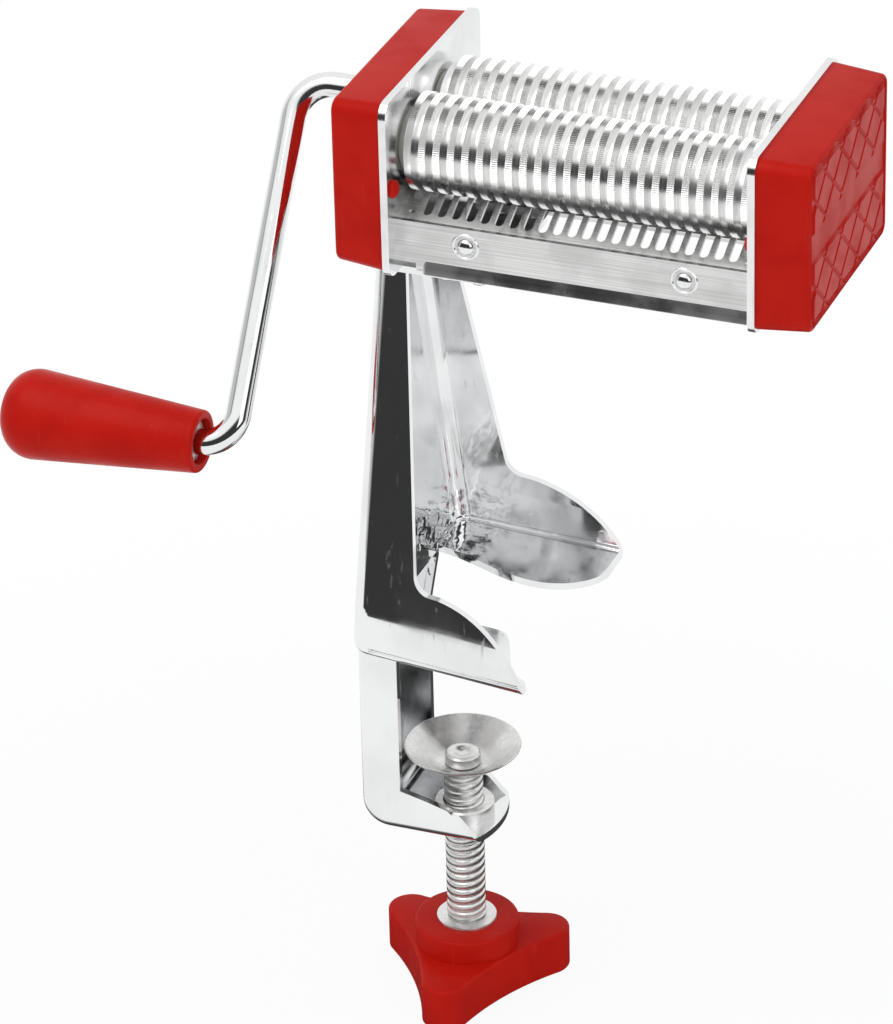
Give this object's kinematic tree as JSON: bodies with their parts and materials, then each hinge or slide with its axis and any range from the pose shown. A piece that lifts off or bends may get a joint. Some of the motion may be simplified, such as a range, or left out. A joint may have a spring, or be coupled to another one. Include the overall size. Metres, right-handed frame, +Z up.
{
  "type": "hand-cranked dough ribbon cutter",
  "caption": "Hand-cranked cutter with two meshing ringed rollers between red end caps, on a pressed steel table clamp with a screw, cup and three-lobed knob.",
  "frame": {"origin": "on the clamp screw's axis, in the plane of the feet's undersides, which rest on the table top", "axes": "+Z up, +X along the rollers away from the crank, -Y the front"},
  "size_m": [0.2221, 0.098, 0.2867],
  "materials": {
    "bright_plate": "bright plated sheet steel",
    "roller_metal": "turned and knurled",
    "red_plastic": "semi-gloss moulded",
    "zinc_steel": "zinc plated",
    "white_nylon": "moulded nylon"
  },
  "bodies": {
    "frame": {"clamp_bracket": "bright_plate", "bracket_rivets": "zinc_steel", "clamp_nut": "zinc_steel", "left_side_plate": "bright_plate", "right_side_plate": "bright_plate", "left_end_cap": "red_plastic", "right_end_cap": "red_plastic", "front_left_bush": "white_nylon", "front_right_bush": "white_nylon", "back_left_bush": "white_nylon", "back_right_bush": "white_nylon", "front_rail": "bright_plate", "back_rail": "bright_plate", "front_comb": "bright_plate", "back_comb": "bright_plate", "front_comb_rivets": "zinc_steel", "back_comb_rivets": "zinc_steel"},
    "drive_roller": {"back_roller": "roller_metal", "crank_arm": "bright_plate", "crank_pin": "zinc_steel", "grip_washer": "zinc_steel", "drive_gear": "white_nylon", "drive_gear_clip": "zinc_steel"},
    "idler_roller": {"front_roller": "roller_metal", "driven_gear": "white_nylon", "driven_gear_clip": "zinc_steel"},
    "grip": {"crank_grip": "red_plastic"},
    "cup": {"pressure_cup": "zinc_steel"},
    "screw": {"clamp_screw": "zinc_steel", "wing_knob": "red_plastic", "knob_insert": "zinc_steel"}
  },
  "joints": [
    {"name": "crank_turn", "type": "hinge", "parent": "frame", "child": "drive_roller", "pos_m": [0.0455, 0.0096, 0.1447], "axis": [1, 0, 0], "continuous": true},
    {"name": "idler_turn", "type": "hinge", "parent": "frame", "child": "idler_roller", "pos_m": [0.0455, -0.0144, 0.1447], "axis": [1, 0, 0], "continuous": true},
    {"name": "grip_spin", "type": "hinge", "parent": "drive_roller", "child": "grip", "pos_m": [-0.0835, -0.045, 0.0617], "axis": [1, 0, 0], "continuous": true},
    {"name": "screw_travel", "type": "slide", "parent": "frame", "child": "cup", "axis": [0, 0, 1], "range_m": [-0.009, 0.031]},
    {"name": "screw_turn", "type": "hinge", "parent": "cup", "child": "screw", "pos_m": [0, 0, -0.08], "axis": [0, 0, 1], "range_deg": [-1440, 4800]}
  ],
  "couplings": [
    {"joint": "idler_turn", "follows": "crank_turn", "ratio": -1},
    {"joint": "screw_turn", "follows": "screw_travel", "rad_per_m": 2513.3}
  ]
}
